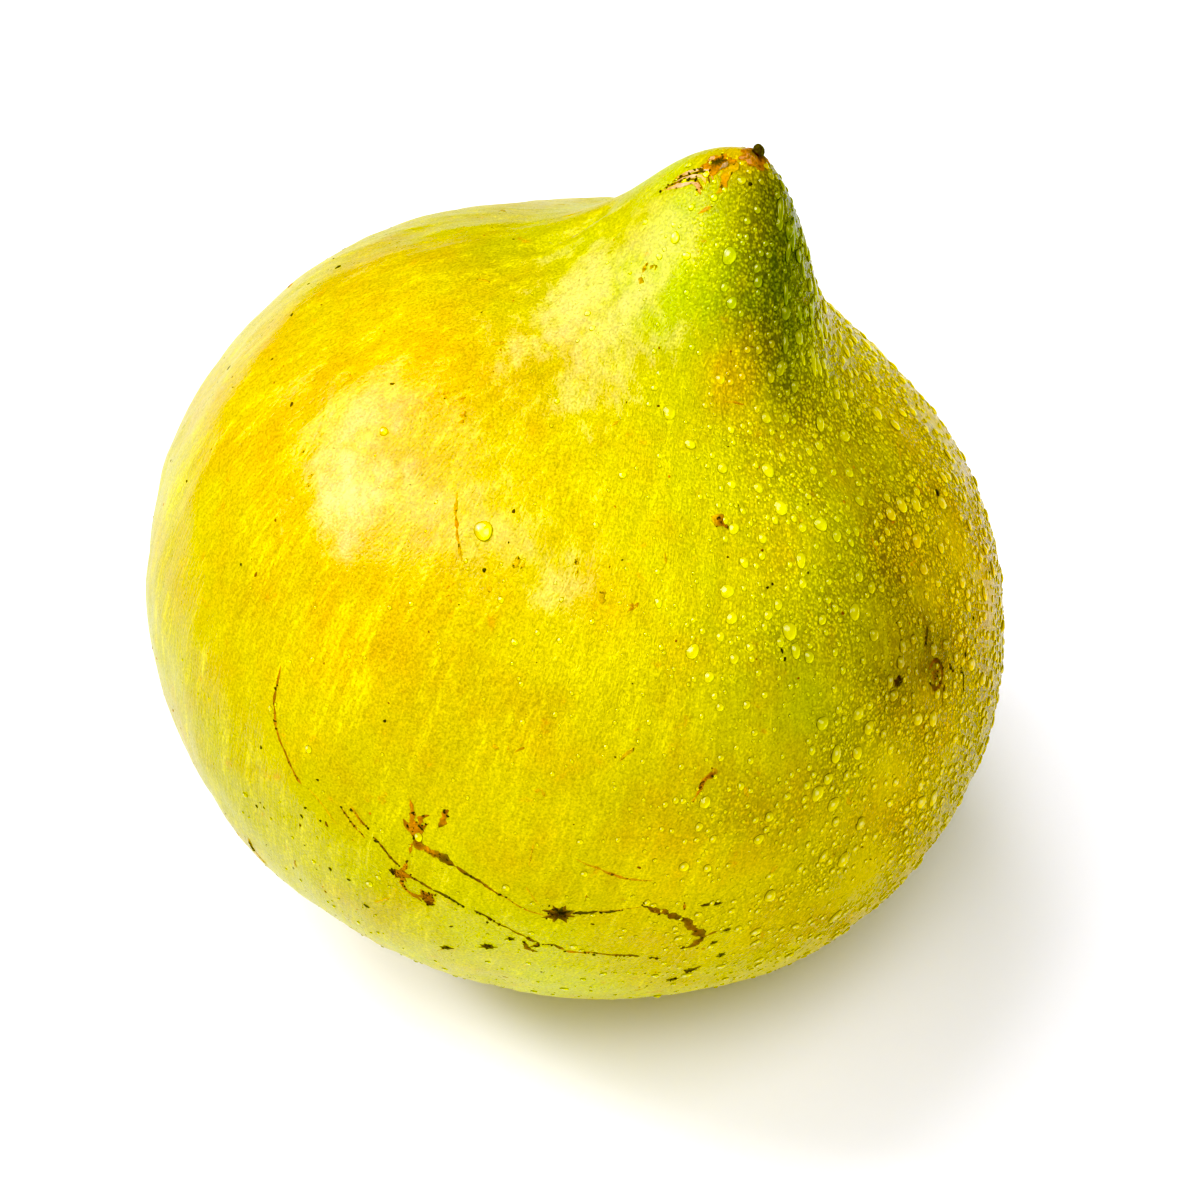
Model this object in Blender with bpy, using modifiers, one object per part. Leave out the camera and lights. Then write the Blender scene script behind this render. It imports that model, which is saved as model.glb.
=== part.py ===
"""Egg fruit (canistel): a round fruit with a conical beak, resting on a small flat spot.

Metres, +Z up. The origin is the centre of the flat spot. The beak leans to +X and a little to +Y.
"""

import math

import bmesh
import bpy
import numpy as np
from mathutils import Matrix, Vector

COLLECTION = "egg_fruit"

# The round body, before the beak and the swells.
BODY_RADIUS = 0.0390  # half the width across the fruit
SHOULDER_HEIGHT = 0.0331  # from the widest ring up to the shoulder, without the beak
STEM_END_DEPTH = 0.0340  # from the widest ring down to the stem end

# The beak, a bell of these angles around its own direction.
BEAK_HEIGHT = 0.0145
BEAK_SPREAD = 13.2  # degrees from its middle to where it has lost two thirds of its height
BEAK_STEEPNESS = 1.64
BEAK_BLUNTNESS = 0.08
BEAK_TOWARDS = (9.7, 85.0)  # longitude and latitude on the fruit, in degrees

# Low swells and hollows: longitude, latitude, reach in degrees, height.
SWELLS = (
    (180, 45, 40, 0.00215),
    (100, 0, 45, 0.0015),
    (0, -30, 45, -0.0018),
    (90, 50, 35, 0.0010),
    (-90, 50, 35, 0.0033),
    (0, 80, 30, 0.0004),
    (180, 62, 14, 0.0014),
    (60, 62, 14, -0.0006),
    (45, 15, 30, -0.0020),
    (-100, -45, 40, -0.0007),
    (100, -45, 40, -0.0003),
    (180, -60, 40, 0.0004),
)

# The shallow dimple where the stalk was.
DIMPLE_REACH = 9.0  # degrees
DIMPLE_DEPTH = 0.0012

# How the fruit rests.
LEAN = 21.4  # degrees from upright to the stem-to-beak line
LEAN_TOWARDS = 37.7  # degrees from +X, counter-clockwise from above
FLAT_DEPTH = 0.0009  # how far the underside is pressed flat

# The mesh.
MERIDIANS = 64
RINGS = 60
RING_CROWDING = 1.35  # above 1, the rings lie closer together near the beak

# The dried style on the beak's end: a low collar with a short spike.
COLLAR_RADIUS = 0.0014
COLLAR_THICKNESS = 0.0005
SPIKE_RADIUS = 0.0006
SPIKE_HEIGHT = 0.0017
STYLE_SIDES = 20
FACE_GAP = 0.0003  # between the style and the fruit


def direction(longitude, latitude):
    """The unit vector at a longitude and a latitude on the fruit, in degrees."""
    across = math.cos(math.radians(latitude))
    turn = math.radians(longitude)
    return np.array([across * math.cos(turn), across * math.sin(turn), math.sin(math.radians(latitude))])


def angles_from(directions, middle):
    """The angle in degrees from each direction to the middle one."""
    return np.degrees(np.arccos(np.clip(directions @ middle, -1.0, 1.0)))


def bell(angles, reach):
    return np.exp(-((angles / reach) ** 2))


def surface_radius(directions):
    """How far the skin is from the fruit's centre, along each unit vector: two half ellipsoids that
    meet at the widest ring, the swells, the dimple and the beak, added up."""
    up = directions[:, 2]
    half_height = np.where(up > 0.0, SHOULDER_HEIGHT, STEM_END_DEPTH)
    flat_part = np.hypot(directions[:, 0], directions[:, 1]) / BODY_RADIUS
    radius = 1.0 / np.hypot(flat_part, up / half_height)
    for longitude, latitude, reach, height in SWELLS:
        radius += height * bell(angles_from(directions, direction(longitude, latitude)), reach)
    radius -= DIMPLE_DEPTH * bell(angles_from(directions, direction(0, -90)), DIMPLE_REACH)
    away = angles_from(directions, direction(*BEAK_TOWARDS)) / BEAK_SPREAD
    rounded = (away**2 + BEAK_BLUNTNESS**2) ** (BEAK_STEEPNESS / 2)
    radius += BEAK_HEIGHT * np.exp(BEAK_BLUNTNESS**BEAK_STEEPNESS - rounded)
    return radius


def resting_turn():
    """The matrix that leans the fruit: its +Z goes along the lean, its +X turns to the front, -Y."""
    tilt = math.radians(LEAN)
    way = math.radians(LEAN_TOWARDS)
    beak = Vector((math.sin(tilt) * math.cos(way), math.sin(tilt) * math.sin(way), math.cos(tilt)))
    front = Vector((0.0, -1.0, 0.0))
    front = (front - front.dot(beak) * beak).normalized()
    side = beak.cross(front)
    return Matrix((front, side, beak)).transposed().to_4x4()


def plain_material(name, color, roughness):
    material = bpy.data.materials.new(name)
    material.use_nodes = True
    shader = material.node_tree.nodes["Principled BSDF"]
    shader.inputs["Base Color"].default_value = (*color, 1.0)
    shader.inputs["Roughness"].default_value = roughness
    shader.inputs["Metallic"].default_value = 0.0
    return material


def add_object(name, mesh, material, collection):
    mesh.materials.append(material)
    mesh.shade_smooth()
    made = bpy.data.objects.new(name, mesh)
    collection.objects.link(made)
    return made


def fruit_surface():
    """A UV sphere whose points are moved onto the fruit's skin, with the rings crowded to the beak."""
    shell = bmesh.new()
    bmesh.ops.create_uvsphere(shell, u_segments=MERIDIANS, v_segments=RINGS, radius=1.0)
    points = np.array([vertex.co for vertex in shell.verts])
    polar = np.arccos(np.clip(points[:, 2], -1.0, 1.0))
    polar = math.pi * (polar / math.pi) ** RING_CROWDING
    turn = np.arctan2(points[:, 1], points[:, 0])
    flat = np.sin(polar)
    directions = np.stack([flat * np.cos(turn), flat * np.sin(turn), np.cos(polar)], axis=1)
    points = directions * surface_radius(directions)[:, None]
    for vertex, point in zip(shell.verts, points):
        vertex.co = point
    return shell


def press_flat(shell):
    """Cuts the underside level, closes it with one flat fan and returns the fan's middle."""
    lowest = min(vertex.co.z for vertex in shell.verts)
    level = lowest + FLAT_DEPTH
    everything = shell.verts[:] + shell.edges[:] + shell.faces[:]
    cut = bmesh.ops.bisect_plane(
        shell,
        geom=everything,
        dist=1e-7,
        plane_co=(0.0, 0.0, level),
        plane_no=(0.0, 0.0, -1.0),
        clear_outer=True,
    )
    rim = [item for item in cut["geom_cut"] if isinstance(item, bmesh.types.BMEdge)]
    lid = bmesh.ops.edgeloop_fill(shell, edges=rim)["faces"]
    middle = bmesh.ops.poke(shell, faces=lid, center_mode="MEAN_WEIGHTED")["verts"][0]
    return middle.co.copy()


def make_fruit(collection):
    """Makes the fruit and returns the move that put it at the origin."""
    shell = fruit_surface()
    bmesh.ops.transform(shell, matrix=resting_turn(), verts=shell.verts)
    middle = press_flat(shell)
    placed = Matrix.Translation(-middle)
    bmesh.ops.transform(shell, matrix=placed, verts=shell.verts)
    bmesh.ops.recalc_face_normals(shell, faces=shell.faces)
    mesh = bpy.data.meshes.new("fruit")
    shell.to_mesh(mesh)
    shell.free()
    skin = plain_material("yellow_skin", (0.86, 0.66, 0.02), 0.38)
    add_object("fruit", mesh, skin, collection)
    return placed


def make_style(placed, collection):
    """The collar and spike, a turned profile that stands on the beak's end along the beak."""
    top = direction(*BEAK_TOWARDS)
    reach = surface_radius(top[None, :])[0]
    rim_turn = math.degrees(COLLAR_RADIUS / reach)
    rim = direction(BEAK_TOWARDS[0], BEAK_TOWARDS[1] - rim_turn)
    rim_point = rim * surface_radius(rim[None, :])[0]
    rim_drop = rim_point @ top - reach
    profile = [
        (0.0, SPIKE_HEIGHT),
        (SPIKE_RADIUS * 0.45, SPIKE_HEIGHT * 0.92),
        (SPIKE_RADIUS * 0.85, SPIKE_HEIGHT * 0.6),
        (SPIKE_RADIUS, COLLAR_THICKNESS * 1.3),
        (COLLAR_RADIUS * 0.85, rim_drop * 0.6 + COLLAR_THICKNESS),
        (COLLAR_RADIUS, rim_drop + COLLAR_THICKNESS * 0.6),
        (COLLAR_RADIUS, rim_drop),
        (COLLAR_RADIUS * 0.5, rim_drop * 0.3),
        (0.0, 0.0),
    ]
    mesh = bpy.data.meshes.new("style_tip")
    edges = [(i, i + 1) for i in range(len(profile) - 1)]
    mesh.from_pydata([(x, 0.0, z) for x, z in profile], edges, [])
    dry = plain_material("dried_style", (0.10, 0.045, 0.02), 0.75)
    style = add_object("style_tip", mesh, dry, collection)
    turned = style.modifiers.new("turned", "SCREW")
    turned.steps = STYLE_SIDES
    turned.render_steps = STYLE_SIDES
    turned.use_merge_vertices = True
    turned.merge_threshold = 0.00001
    turned.use_smooth_shade = True
    stand = Vector(top).to_track_quat("Z", "Y").to_matrix().to_4x4()
    foot = Matrix.Translation(Vector(top * (reach + FACE_GAP)))
    style.matrix_world = placed @ resting_turn() @ foot @ stand


def main():
    for leftover in list(bpy.data.objects):
        bpy.data.objects.remove(leftover)
    collection = bpy.data.collections.new(COLLECTION)
    bpy.context.scene.collection.children.link(collection)
    placed = make_fruit(collection)
    make_style(placed, collection)


main()
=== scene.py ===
# Egg fruit: its skin, the scars and specks on it, the stalk's scar, the dried style and the drops of water.
# Metres, +Z up. The origin is the centre of the flat spot that the fruit rests on. Angles are in degrees.
import math

import bpy
import numpy as np
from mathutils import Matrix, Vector


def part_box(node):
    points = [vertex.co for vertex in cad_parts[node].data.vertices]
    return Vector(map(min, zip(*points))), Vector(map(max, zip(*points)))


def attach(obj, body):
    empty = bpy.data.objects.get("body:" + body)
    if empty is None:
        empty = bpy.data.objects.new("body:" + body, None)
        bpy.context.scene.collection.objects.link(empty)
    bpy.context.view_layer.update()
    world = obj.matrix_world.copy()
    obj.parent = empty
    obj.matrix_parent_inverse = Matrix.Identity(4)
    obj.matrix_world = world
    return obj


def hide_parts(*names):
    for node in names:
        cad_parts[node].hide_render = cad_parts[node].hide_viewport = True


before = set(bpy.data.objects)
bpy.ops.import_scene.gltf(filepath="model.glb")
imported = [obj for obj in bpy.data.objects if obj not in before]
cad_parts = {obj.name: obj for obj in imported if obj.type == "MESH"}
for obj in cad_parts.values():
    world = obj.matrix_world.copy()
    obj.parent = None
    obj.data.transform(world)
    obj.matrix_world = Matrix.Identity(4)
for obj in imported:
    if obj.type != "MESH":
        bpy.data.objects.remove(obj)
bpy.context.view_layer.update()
mm = 0.001
hundredth = 0.01 * mm

# The plain form, as the part has it. Longitude 0 faces the front, latitude 90 is where the beak starts.
fruitShape = {
    "bodyRadius": 39.0 * mm,
    "shoulderHeight": 33.1 * mm,
    "stemEndDepth": 34.0 * mm,
    "beakHeight": 14.5 * mm,
    "beakSpread": 13.2,
    "beakSteepness": 1.64,
    "beakBluntness": 0.08,
    "beakTowards": (9.7, 85.0),
    "dimpleReach": 9.0,
    "dimpleDepth": 1.2 * mm,
    "lean": 21.4,
    "leanTowards": 37.7,
    "flatDepth": 0.9 * mm,
    "swells": [  # longitude, latitude, reach, height
        (180, 45, 40, 2.15 * mm), (100, 0, 45, 1.5 * mm), (0, -30, 45, -1.8 * mm), (90, 50, 35, 1.0 * mm),
        (-90, 50, 35, 3.3 * mm), (0, 80, 30, 0.4 * mm), (180, 62, 14, 1.4 * mm), (60, 62, 14, -0.6 * mm),
        (45, 15, 30, -2.0 * mm), (-100, -45, 40, -0.7 * mm), (100, -45, 40, -0.3 * mm),
        (180, -60, 40, 0.4 * mm),
    ],
}

# What the skin has beyond the plain form.
relief = {
    "creaseAt": -86.0,  # longitude of a fold that runs down from the beak's left side
    "creaseLatitudes": (65.0, 77.0),
    "creaseWidth": 1.0 * mm,
    "creaseDepth": 0.8 * mm,
    "creaseLip": (0.5, 1.8),  # height over the fold's depth, and place in widths of the fold beside it
    "creaseSlant": 0.35,  # degrees of longitude for each degree of latitude
    "ribWidth": 2.4,  # mm
    "ribDepth": 0.04 * mm,
    "dentWidth": 17.0,  # mm
    "dentDepth": 0.22 * mm,
    "rippleWidth": 4.5,  # mm
    "rippleDepth": 0.06 * mm,
    "shoulder": (-80, 84.5, 5.0, 0.9 * mm),  # a swell beside the tip: longitude, latitude, reach and height
    "seed": 11,
}


def directionOf(longitude, latitude):  # unit vectors on the fruit
    turn = np.radians(np.asarray(longitude, float))
    rise = np.radians(np.asarray(latitude, float))
    return np.stack([np.cos(rise) * np.cos(turn), np.cos(rise) * np.sin(turn), np.sin(rise) + 0 * turn], -1)


def placeOf(directions):  # longitude and latitude of unit vectors
    longitude = np.degrees(np.arctan2(directions[..., 1], directions[..., 0]))
    return longitude, np.degrees(np.arcsin(np.clip(directions[..., 2], -1, 1)))


def angleFrom(directions, middle):
    return np.degrees(np.arccos(np.clip(directions @ middle, -1.0, 1.0)))


def bell(x):
    return np.exp(-x * x)


def ease(x):  # 0 below 0, 1 above 1, a smooth step between
    x = np.clip(x, 0.0, 1.0)
    return x * x * (3 - 2 * x)


def unit(v):
    return v / np.maximum(np.linalg.norm(v, axis=-1, keepdims=True), 1e-12)


# Smooth noise of about -1 to 1: a sum of cosine waves in random directions, each about size long.
def softNoise(points, size, seed, waves=28):
    rng = np.random.default_rng(seed)
    way = unit(rng.normal(size=(waves, 3)))
    pitch = 2 * math.pi / (size * rng.uniform(0.7, 1.6, waves))
    phase = rng.uniform(0, 2 * math.pi, waves)
    return np.cos(points @ (way * pitch[:, None]).T + phase).sum(-1) * 0.7 * math.sqrt(2.0 / waves)


# Unit vectors as points of a ball about as big as the fruit, in millimetres, for the noise.
def noisePlace(directions):
    return directions * fruitShape["bodyRadius"] / mm


# Distance of the skin from the fruit's centre: two half ellipsoids that meet at the widest ring, plus the
# swells, minus the stalk's dimple, plus the beak's bell.
def plainRadius(directions):
    s = fruitShape
    up = directions[..., 2]
    halfHeight = np.where(up > 0, s["shoulderHeight"], s["stemEndDepth"])
    level = np.hypot(directions[..., 0], directions[..., 1])
    radius = 1 / np.hypot(level / s["bodyRadius"], up / halfHeight)
    for longitude, latitude, reach, height in s["swells"]:
        radius = radius + height * bell(angleFrom(directions, directionOf(longitude, latitude)) / reach)
    radius = radius - s["dimpleDepth"] * bell(angleFrom(directions, directionOf(0, -90)) / s["dimpleReach"])
    away = angleFrom(directions, directionOf(*s["beakTowards"])) / s["beakSpread"]
    blunt, steep = s["beakBluntness"], s["beakSteepness"]
    return radius + s["beakHeight"] * np.exp(blunt**steep - (away**2 + blunt**2) ** (steep / 2))


# The skin's small forms, added up: a fold by the beak, minus a bell across a slanted line, with a lower bell
# beside it as its lip, a swell by the tip, and noise for ribs along the meridians, dents and ripples.
def reliefHeight(directions):
    r = relief
    longitude, latitude = placeOf(directions)
    low, high = r["creaseLatitudes"]
    offAngle = (longitude - r["creaseAt"] - r["creaseSlant"] * (high - latitude) + 180) % 360 - 180
    across = np.radians(offAngle) * np.cos(np.radians(latitude))
    across = across * fruitShape["bodyRadius"] / r["creaseWidth"]
    along = ease((latitude - low) / 5) * ease((high + 2 - latitude) / 3)
    lipHeight, lipAside = r["creaseLip"]
    height = r["creaseDepth"] * along * (lipHeight * bell(across - lipAside) - bell(across))
    longitude, latitude, reach, swell = r["shoulder"]
    height += swell * bell(angleFrom(directions, directionOf(longitude, latitude)) / reach)
    ring = directions / np.maximum(np.linalg.norm(directions[..., :2], axis=-1, keepdims=True), 0.02)
    ribPlace = np.stack([ring[..., 0], ring[..., 1], directions[..., 2] * 0.22], -1)
    fading = np.clip(1.4 * np.hypot(directions[..., 0], directions[..., 1]), 0, 1)
    height += r["ribDepth"] * softNoise(noisePlace(ribPlace), r["ribWidth"], r["seed"]) * fading
    height += r["dentDepth"] * softNoise(noisePlace(directions), r["dentWidth"], r["seed"] + 1)
    return height + r["rippleDepth"] * softNoise(noisePlace(directions), r["rippleWidth"], r["seed"] + 2)


# The matrix whose columns are the fruit's own axes in the world: +Z leans, +X faces the front.
def restTurn():
    tilt, way = math.radians(fruitShape["lean"]), math.radians(fruitShape["leanTowards"])
    beak = np.array([math.sin(tilt) * math.cos(way), math.sin(tilt) * math.sin(way), math.cos(tilt)])
    front = np.array([0.0, -1.0, 0.0])
    front = unit(front - (front @ beak) * beak)
    return np.stack([front, np.cross(beak, front), beak], 1)


# Directions on rings that crowd towards the beak, with a pole at each end: the polar angle is pi times t to
# the power of crowding.
def sphereGrid(rings, meridians, crowding=1.3):
    polar = math.pi * np.linspace(0, 1, rings + 1)[1:-1] ** crowding
    turn = np.linspace(-math.pi, math.pi, meridians, endpoint=False)
    polar, turn = np.meshgrid(polar, turn, indexing="ij")
    grid = np.stack([np.sin(polar) * np.cos(turn), np.sin(polar) * np.sin(turn), np.cos(polar)], -1)
    return np.concatenate([[[0, 0, 1]], grid.reshape(-1, 3), [[0, 0, -1]]])


# The fruit's centre in the frame: the plain form fills the box and meets the floor of the part's fruit.
def findCentre():
    directions = sphereGrid(240, 360)
    points = directions * plainRadius(directions)[:, None] @ turnMatrix.T
    low, high = (np.array(corner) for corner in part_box("fruit"))
    centre = (low + high - points.min(0) - points.max(0)) / 2
    centre[2] = low[2] - points[:, 2].min() - fruitShape["flatDepth"]
    print("form: centre at", np.round(centre / mm, 2), "mm")
    return centre


turnMatrix = restTurn()
fruitCentre = findCentre()


def skinPoint(directions):  # points of the skin in the world, level at the flat spot
    points = (directions * (plainRadius(directions) + reliefHeight(directions))[..., None]) @ turnMatrix.T
    points = points + fruitCentre
    points[..., 2] = np.maximum(points[..., 2], 0)
    return points


# Points on the skin with the ways east and north and the outward normal, from small steps of the direction.
def skinFrame(directions, step=0.15):
    pole = np.where(np.abs(directions[..., 2:3]) > 0.995, [1.0, 0, 0], [0, 0, 1.0])
    east = unit(np.cross(pole, directions))
    north = np.cross(directions, east)
    step = math.radians(step)
    alongEast = skinPoint(unit(directions + step * east)) - skinPoint(unit(directions - step * east))
    alongNorth = skinPoint(unit(directions + step * north)) - skinPoint(unit(directions - step * north))
    normal = unit(np.cross(alongEast, alongNorth))
    eastward = unit(alongEast)
    return skinPoint(directions), eastward, np.cross(normal, eastward), normal


# A smooth-shaded mesh from its points, its faces, listed flat with their sizes, and a tint at each point.
def meshObject(name, points, corners, sizes, material, tints=None):
    mesh = bpy.data.meshes.new(name)
    mesh.vertices.add(len(points))
    mesh.vertices.foreach_set("co", np.asarray(points, np.float32).reshape(-1))
    mesh.loops.add(len(corners))
    mesh.loops.foreach_set("vertex_index", np.asarray(corners, np.int32))
    mesh.polygons.add(len(sizes))
    mesh.polygons.foreach_set("loop_start", (np.cumsum(sizes) - sizes).astype(np.int32))
    mesh.polygons.foreach_set("loop_total", np.asarray(sizes, np.int32))
    mesh.polygons.foreach_set("use_smooth", np.ones(len(sizes), bool))
    mesh.update(calc_edges=True)
    mesh.validate()
    mesh.materials.append(material)
    if tints is not None:
        setAttribute(mesh, "tint", "FLOAT_COLOR", "color", np.insert(tints, 3, 1.0, axis=1))
    return placeObject(name, mesh)


def placeObject(name, data):
    made = bpy.data.objects.new(name, data)
    bpy.context.scene.collection.objects.link(made)
    return made


def setAttribute(mesh, name, kind, field, values):
    attribute = mesh.attributes.new(name, kind, "POINT")
    attribute.data.foreach_set(field, np.asarray(values, np.float32).reshape(-1))


# Faces of a ball of points: a first pole, rings with the same number of points, a last pole. Turned lists
# each face the other way round.
def closedGridFaces(rings, around, turned=False):
    i = np.arange(rings - 1)[:, None] * around + 1
    j = np.arange(around)[None, :]
    k = (j + 1) % around
    if turned:
        j, k = k, j
    quads = np.stack([i + j, i + around + j, i + around + k, i + k], -1).reshape(-1)
    first = np.stack([np.zeros(around, int), 1 + j[0], 1 + k[0]], 1)
    last = 1 + (rings - 1) * around
    end = np.stack([np.full(around, last + around), last + k[0], last + j[0]], 1)
    sizes = np.concatenate([np.full(around, 3), np.full(len(quads) // 4, 4), np.full(around, 3)])
    return np.concatenate([first.reshape(-1), quads, end.reshape(-1)]), sizes


lemon = (0.565, 0.46, 0.005)
gold = (0.575, 0.355, 0.006)
orange = (0.68, 0.33, 0.008)
straw = (0.60, 0.57, 0.008)
wheat = (0.77, 0.70, 0.010)
pear = (0.37, 0.37, 0.008)
grass = (0.50, 0.53, 0.006)
# a whitish tint for painted highlights
paintedHighlightCream = (0.78, 0.63, 0.18)
lime = (0.31, 0.49, 0.006)
leaf = (0.17, 0.27, 0.006)
# olive: the beak's own dark green, darkened further as painted shade
oliveAndPaintedShade = (0.055, 0.075, 0.004)
ochre = (0.62, 0.45, 0.006)
amber = (0.70, 0.42, 0.006)
# honey: partly the skin's own colour, partly a painted reflection on the right rim
honeyAndPaintedReflection = (0.84, 0.63, 0.012)
umber = (0.20, 0.12, 0.006)

skinPatches = [  # longitude, latitude, reach, colour, strength, raggedness
    (-100, 60, 45, pear, 0.9, 0.15),
    (-95, -15, 52, pear, 1.0, 0.2),
    (-40, -30, 30, pear, 0.55, 0.2),
    (0, -35, 26, grass, 0.9, 0.2),
    # the right side: honey, partly a painted reflection
    (130, 20, 60, honeyAndPaintedReflection, 0.5, 0.3),
    (-62, 38, 30, gold, 0.75, 0.3),
    (-30, 42, 26, gold, 0.5, 0.3),
    (12, 48, 22, straw, 0.95, 0.2),
    (22, 44, 18, wheat, 0.6, 0.2),
    (0, 28, 20, straw, 0.3, 0.3),
    (28, 18, 16, pear, 0.4, 0.3),
    (60, 8, 32, ochre, 0.6, 0.2),
    (15, -4, 7, ochre, 0.3, 0.4),
    # the right rim: honey, partly a painted reflection of the bright surroundings
    (110, 50, 32, honeyAndPaintedReflection, 0.9, 0.2),
    (70, 30, 20, amber, 0.7, 0.3),
    (52, 52, 12, pear, 0.6, 0.3),
    (44, 37, 9, umber, 0.6, 0.5),
    (34, 44, 9, lime, 0.25, 0.5),
    (32, 30, 7, pear, 0.5, 0.5),
    (50, 26, 6, umber, 0.85, 0.6),
    (-45, 74, 20, pear, 0.6, 0.3),
    (0, 76, 11, lime, 0.85, 0.3),
    (20, 76, 8, leaf, 0.8, 0.3),
    # the beak's right flank, turned from the lights: olive, partly its own dark green, partly painted shade
    (17, 81.5, 5.0, oliveAndPaintedShade, 0.95, 0.3),
    (25, 76.5, 4.5, oliveAndPaintedShade, 0.7, 0.4),
    (25, 71.5, 4.0, oliveAndPaintedShade, 0.65, 0.5),
    (45, 76, 7, oliveAndPaintedShade, 0.35, 0.4),
    (31, 66, 4.0, oliveAndPaintedShade, 0.5, 0.5),
    # painted highlights: cream patches where the window and the overhead lights reflect on the skin
    (-60, 38, 4.5, paintedHighlightCream, 0.5, 1.5),
    (-51, 30.5, 4.5, paintedHighlightCream, 0.8, 1.5),
    (-43, 34, 4, paintedHighlightCream, 0.2, 1.8),
    (-28, 35, 4, paintedHighlightCream, 0.25, 1.8),
    (-16, 33, 3.5, paintedHighlightCream, 0.45, 1.5),
    (-37, 65, 8, paintedHighlightCream, 0.45, 1.8),
    (-42, 77, 4, paintedHighlightCream, 0.35, 1.3),
    (-55, 64, 5, paintedHighlightCream, 0.35, 1.8),
    (23, 25, 8, leaf, 0.3, 0.6),
    (43, 27.5, 6, umber, 0.6, 0.6),
    (10, -8, 9, ochre, 0.3, 0.5),
    (52, 42, 6, amber, 0.5, 0.5),
    (-110, 72, 16, pear, 0.3, 0.4),
    (-80, 12, 10, pear, 0.35, 0.3),
    (-74, 32, 12, pear, 0.2, 0.4),
    (13, -3.5, 7, pear, 0.25, 0.5),
    (-7, 77, 5, wheat, 0.4, 0.5),
    (160, 78, 16, lime, 0.5, 0.4),
    (10, 66.5, 5.0, amber, 0.75, 0.4),
    (-2, 85.5, 3.5, amber, 0.7, 0.3),
    (-72, 30, 10, orange, 0.2, 0.5),
    (-60, 47, 7, orange, 0.5, 0.5),
    (-8, 32, 5, orange, 0.2, 0.5),
    (-41, 14, 5, orange, 0.3, 0.5),
    (8, 4, 8, honeyAndPaintedReflection, 0.25, 0.5),
    (0, -90, 14, ochre, 0.6, 0.3),
]

edgeNoise = [(0.5, 6.0, 31), (0.35, 2.2, 32), (0.35, 0.9, 34)]  # share, size in mm and seed


# The base colour: a yellow ground with soft patches on it, each a bell of the angle from its middle with its
# edge broken by noise, and a faint cloudiness. Some patches are painted light: the cream ones painted
# highlights, the honey ones on the right partly a painted reflection, and the olive ones on the beak's right
# flank partly painted shade.
def skinColour(directions):
    points = noisePlace(directions)
    colour = np.zeros(directions.shape[:-1] + (3,)) + lemon
    ragged = sum(share * softNoise(points, size, seed) for share, size, seed in edgeNoise)
    for longitude, latitude, reach, tint, strength, rough in skinPatches:
        away = angleFrom(directions, directionOf(longitude, latitude)) / reach
        weight = strength * bell(np.maximum(away + 0.5 * rough * ragged, 0))[..., None]
        colour = colour * (1 - weight) + np.array(tint) * weight
    cloud = softNoise(points, 14.0, 33)[..., None]
    return np.clip(colour * (1 + 0.03 * cloud), 0, 1)


def newMaterial(name):
    material = bpy.data.materials.new(name)
    material.use_nodes = True
    return material, material.node_tree, material.node_tree.nodes["Principled BSDF"]


def addNode(tree, kind, settings=None, **numbers):
    made = tree.nodes.new(kind)
    for key, value in (settings or {}).items():
        setattr(made, key, value)
    for key, value in numbers.items():
        made.inputs[key].default_value = value
    return made


def setSocket(tree, socket, value):  # links a node's output, or sets a number or a colour
    if isinstance(value, bpy.types.NodeSocket):
        tree.links.new(value, socket)
    elif isinstance(value, tuple) and len(value) == 3 and socket.type == "RGBA":
        socket.default_value = (*value, 1.0)
    else:
        socket.default_value = value


def placeNode(tree):
    return addNode(tree, "ShaderNodeTexCoord").outputs["Object"]


def stretchNode(tree, place, stretch):
    mapping = addNode(tree, "ShaderNodeMapping", Scale=stretch)
    tree.links.new(place, mapping.inputs["Vector"])
    return mapping.outputs["Vector"]


def noiseNode(tree, place, scale, detail=3.0, roughness=0.55):
    made = addNode(tree, "ShaderNodeTexNoise", Scale=scale, Detail=detail, Roughness=roughness)
    tree.links.new(place, made.inputs["Vector"])
    return made.outputs["Fac"]


def cellNode(tree, place, scale):  # distance to the nearest of scattered points
    made = addNode(tree, "ShaderNodeTexVoronoi", Scale=scale)
    tree.links.new(place, made.inputs["Vector"])
    return made.outputs["Distance"]


def rangeNode(tree, value, low, high, fromLow=0.3, fromHigh=0.7):
    made = addNode(tree, "ShaderNodeMapRange", {"clamp": True})
    for key, number in (("From Min", fromLow), ("From Max", fromHigh), ("To Min", low), ("To Max", high)):
        made.inputs[key].default_value = number
    tree.links.new(value, made.inputs["Value"])
    return made.outputs["Result"]


def mathNode(tree, operation, first, second):
    made = addNode(tree, "ShaderNodeMath", {"operation": operation})
    setSocket(tree, made.inputs[0], first)
    setSocket(tree, made.inputs[1], second)
    return made.outputs[0]


def blendNode(tree, factor, first, second, blend="MIX"):
    made = addNode(tree, "ShaderNodeMix", {"data_type": "RGBA", "blend_type": blend})
    for socket, value in zip((made.inputs[0], made.inputs[6], made.inputs[7]), (factor, first, second)):
        setSocket(tree, socket, value)
    return made.outputs[2]


def attributeNode(tree, name, output):
    return addNode(tree, "ShaderNodeAttribute", {"attribute_name": name}).outputs[output]


def setShader(tree, shader, colour, roughness, normal):
    for name, value in (("Base Color", colour), ("Roughness", roughness), ("Normal", normal)):
        tree.links.new(value, shader.inputs[name])


def bumpNode(tree, height, distance, strength, under=None):
    made = addNode(tree, "ShaderNodeBump", Distance=distance)
    setSocket(tree, made.inputs["Strength"], strength)
    tree.links.new(height, made.inputs["Height"])
    if under is not None:
        tree.links.new(under, made.inputs["Normal"])
    return made.outputs["Normal"]


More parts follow.
